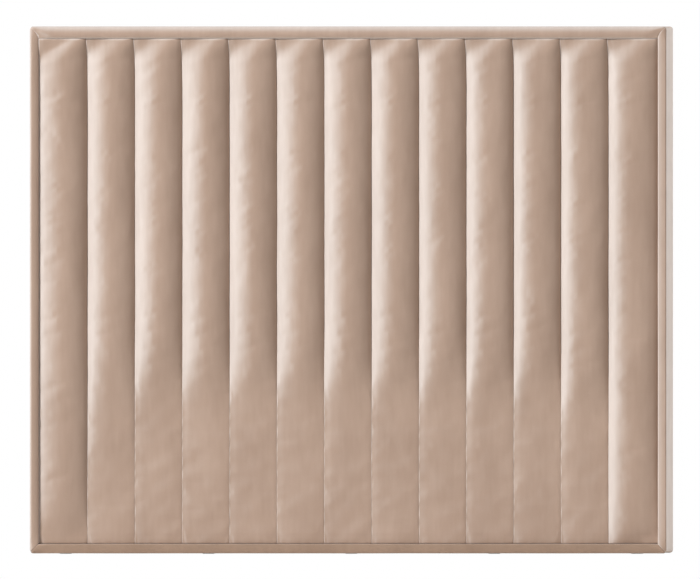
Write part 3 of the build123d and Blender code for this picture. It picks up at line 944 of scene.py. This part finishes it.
# The bottom border gets a darker velvet whose normal is not tilted.
bottom_velvet_finish = velvet("velvet_rose_beige_darker_bottom", rgb(150, 126, 109), rgb(169, 144, 126), UPRIGHT)
for number, piece in enumerate(channel_pieces, start=1):
    dress(piece, velvet_finish, "velvet", "channel_cover", f"channel_foam_{number:02d}")
for side, piece in border_pieces.items():
    finish = bottom_velvet_finish if side == "bottom" else velvet_finish
    dress(piece, finish, "velvet", f"border_wrap_{side}", f"border_wadding_{side}")
print("velvet on", len(channel_pieces), "channels and", len(border_pieces), "sides of the border")

# %% [markdown]
# ## Patterns of the pieces inside and behind
# Pictures of wood would need an unwrapping of every board, so each finish is a pattern in space.
# Plywood shows its plies on every cut edge, which a pattern that counts layers through the board's
# thickness gives by itself. Softwood has long streaks, foam cells, and the black dust cloth pressed
# dots. Each pattern gives the share between two colours, and what roughness and bump follow.

# %% Patterns
PLY = 0.0018


def plies(f):
    """Plies that alternate through the thickness of a board, and faint long grain."""
    layer = (f.axis("Y") / (2 * PLY)).whole_part_left()
    streaks = f.noise(60.0, 4.0, stretch=(0.08, 1.0, 1.0))
    dark = ((layer - 0.5) * 40).clamped() * 0.35 + (streaks - 0.5) * 0.5 + 0.3
    return dark.clamped(), streaks, streaks


def late_wood(f):
    """Long streaks of late wood, along the timber in each direction."""
    long_x = f.noise(90.0, 4.0, stretch=(0.05, 1.0, 1.0))
    long_z = f.noise(90.0, 4.0, stretch=(1.0, 1.0, 0.05))
    streaks = (long_x + long_z) / 2
    return ((streaks - 0.4) * 3).clamped(), streaks, streaks


def open_cells(f):
    """Small cells, over a slow change of tone."""
    cells, tone = f.cells(650.0), f.noise(14.0, 2.0)
    return (cells * 0.8 + tone * 0.3).clamped(), tone, cells


def matted(f):
    """Dots pressed on a small grid into matted fibres."""
    dots = f.cells(420.0, stretch=(1.0, 0.0, 1.0))
    fibres = f.noise(260.0, 4.0, stretch=(1.0, 1.0, 0.4), roughness=0.7)
    return (((0.45 - dots) * 3).clamped() * 0.5 + fibres * 0.4).clamped(), fibres, dots + fibres


def one_noise(*settings, **more):
    """A pattern of a single noise: flecks, crossed fibres, clouds or a fine grain, by its settings."""
    return lambda f: (f.noise(*settings, **more),) * 3


# %% [markdown]
# ## Their finishes
# Wood, foam, wadding, steel, cloth and plastic differ here only in pattern, colours, roughness and
# bump. So one function makes them all from a table, which says in one place what each is.


# %% Finishes from a table
def patterned(name, pattern, first, second, rough, bump=None, metallic=0.0):
    """A finish of two colours. Rough is a value and how far it varies, bump its depth and strength."""
    f = Finish(name)
    share, value, height = pattern(f)
    sockets = {"Normal": f.bump(height, *bump)} if bump else {}
    sockets["Base Color"] = f.mix(share, rgb(*first), rgb(*second))
    sockets["Roughness"] = rough[0] + value * rough[1]
    return f.done(f.surface(Metallic=metallic, **sockets))


flecks = one_noise(700.0, 3.0, stretch=(0.3, 1.0, 0.3))
fibres = one_noise(420.0, 5.0, stretch=(1.0, 0.3, 0.6), roughness=0.7)
clouds, fine = one_noise(180.0, 3.0), one_noise(1400.0, 2.0)
TABLE = {
    "foam": ("upholstery_foam", open_cells, (238, 228, 196), (214, 200, 160), (0.92, 0.05), (0.0005, 0.6)),
    "wadding": ("polyester_wadding", fibres, (226, 226, 222), (246, 246, 244), (0.9, 0.08), (0.0006, 0.5)),
    "plywood": ("birch_plywood", plies, (214, 184, 142), (160, 120, 80), (0.62, 0.12), (0.0004, 0.4)),
    "softwood": ("planed_spruce", late_wood, (226, 196, 150), (190, 148, 98), (0.6, 0.15), (0.0003, 0.4)),
    "beech": ("beech", flecks, (208, 168, 130), (176, 132, 96), (0.55, 0.1)),
    "zinc_steel": ("zinc_plated_steel", clouds, (196, 196, 194), (170, 172, 176), (0.28, 0.2), None, 0.95),
    "backing_cloth": ("black_dust_cloth", matted, (28, 28, 29), (58, 58, 60), (0.82, 0.1), (0.0003, 0.6)),
    "skid_plastic": ("moulded_plastic", fine, (222, 221, 216), (236, 235, 231), (0.5, 0.15), (0.0001, 0.4)),
}
finishes = {slot: patterned(*row) for slot, row in TABLE.items()}
finishes["velvet"] = velvet_finish
print(len(finishes), "finishes:", ", ".join(finishes))

# %% [markdown]
# ## Dressing the rest
# Every solid of the frame gets the finish of its slot, whether it shows or not.

# %% Dress the rest
dress(dust_sheet, finishes["backing_cloth"], "backing_cloth", "dust_cover")
dress(staples, finishes["zinc_steel"], "zinc_steel")
dress(screws, finishes["zinc_steel"], "zinc_steel", "cleat_screws")
for part in frame["record"]["subparts"]:
    solid = nodes[part["node"]]
    solid.data.materials.clear()
    solid.data.materials.append(finishes[part["material_slot"]])
print("dressed", len(nodes), "solids")

# %% [markdown]
# ## Floor
# The floor is plain, matt and pale, so it shows nothing but the soft shadow. One that only catches
# shadows would do as well, but a real floor also throws a little light up from below.

# %% Floor
FLOOR_REACH = 30.0
pale = patterned("pale_floor", one_noise(3.0, 2.0), (238, 238, 236), (244, 244, 242), (0.9, 0.0))
corners = np.array([(-1, -1, 0), (1, -1, 0), (1, 1, 0), (-1, 1, 0)]) * FLOOR_REACH
floor = make_piece("floor", corners, [[0, 1, 2, 3]], smooth=False)
floor.data.materials.append(pale)
print("floor reaches", FLOOR_REACH, "m each way")

# %% [markdown]
# ## Lamps
# Each channel runs from a bright left flank to a dark right one, so the main lamp stands to the left,
# in front and above. It is 20 m away, because a near one would light the top of the panel more than
# its foot. A lamp high in front takes some of the contrast off, and two behind on the right light the
# narrow right side and the top.

# %% Lamps
LIT_CENTRE = np.array([0.0, 0.0, 0.75])
LAMPS = {
    "key": dict(bearing=-50, climb=30, distance=20.0, size=3.75, power=3850),
    "high_front": dict(bearing=0, climb=60, distance=20.0, size=7.5, power=1000),
    "right_fill": dict(bearing=150, climb=20, distance=8.0, size=3.0, power=650),
    "top_fill": dict(bearing=150, climb=62, distance=8.0, size=3.0, power=60),
}


def soft_lamp(name, bearing, climb, distance, size, power):
    """A square lamp aimed at the panel. Its bearing is in degrees from the front to the right, and its
    climb in degrees upwards."""
    light = bpy.data.lights.new(name, "AREA")
    light.shape, light.size, light.energy = "SQUARE", size, power
    lamp = bpy.data.objects.new(name, light)
    turn, rise = math.radians(bearing), math.radians(climb)
    away = np.array([math.cos(rise) * math.sin(turn), -math.cos(rise) * math.cos(turn), math.sin(rise)])
    lamp.location = LIT_CENTRE + distance * away
    lamp.rotation_mode = "QUATERNION"
    lamp.rotation_quaternion = Vector(tuple(-away)).to_track_quat("-Z", "Y")
    bpy.context.scene.collection.objects.link(lamp)


for name, settings in LAMPS.items():
    soft_lamp(name, **settings)
print("lamps:", ", ".join(LAMPS))

# %% [markdown]
# ## Background
# The background is white to the camera, to reflections and through glass, and a faint room to
# everything else. A white world for all rays would wash the seams out.

# %% Background
ROOM_LIGHT = 0.10
world = bpy.data.worlds.new("studio")
bpy.context.scene.world = world
world.use_nodes = True
studio = Graph(world.node_tree)
rays = studio.add("ShaderNodeLightPath").outputs
seen = Number(studio, rays["Is Camera Ray"]) + Number(studio, rays["Is Glossy Ray"])
seen = (seen + Number(studio, rays["Is Transmission Ray"])).clamped()
room = studio.add("ShaderNodeBackground", {}, {"Color": (1.0, 0.99, 0.98, 1.0), "Strength": ROOM_LIGHT})
white = studio.add("ShaderNodeBackground", {}, {"Color": (1.0, 1.0, 1.0, 1.0), "Strength": 1.0})
either = studio.add("ShaderNodeMixShader", {}, {0: seen, 1: room.outputs[0], 2: white.outputs[0]})
studio.add("ShaderNodeOutputWorld", {}, {0: either.outputs[0]})
bpy.context.scene.view_settings.view_transform = "Standard"
print("room light", ROOM_LIGHT)

# %% [markdown]
# ## Camera
# The photograph has no converging lines, so the camera has parallel rays. One with perspective would
# have to stand very far off for the same picture. It stands level, turned about 12 degrees to the
# right of the front, which shortens the channels against the height and shows the right end of the
# border as a narrow strip.

# %% Camera
IMAGE_WIDTH = 700
PIXELS_PER_METRE = 384.37
AZIMUTH = math.radians(12.1)
CENTRE_RIGHT, CENTRE_UP = -0.0054, 0.6875
DISTANCE = 6.0

camera_data = bpy.data.cameras.new("camera")
camera_data.type = "ORTHO"
camera_data.ortho_scale = IMAGE_WIDTH / PIXELS_PER_METRE
camera = bpy.data.objects.new("camera", camera_data)
to_camera = np.array([math.sin(AZIMUTH), -math.cos(AZIMUTH), 0.0])
to_right = np.array([math.cos(AZIMUTH), math.sin(AZIMUTH), 0.0])
camera.location = to_camera * DISTANCE + to_right * CENTRE_RIGHT + np.array([0, 0, CENTRE_UP])
camera.rotation_mode = "QUATERNION"
camera.rotation_quaternion = Vector(tuple(-to_camera)).to_track_quat("-Z", "Y")
bpy.context.scene.collection.objects.link(camera)
bpy.context.scene.camera = camera
print("camera turned", round(math.degrees(AZIMUTH), 1), "degrees to the right")
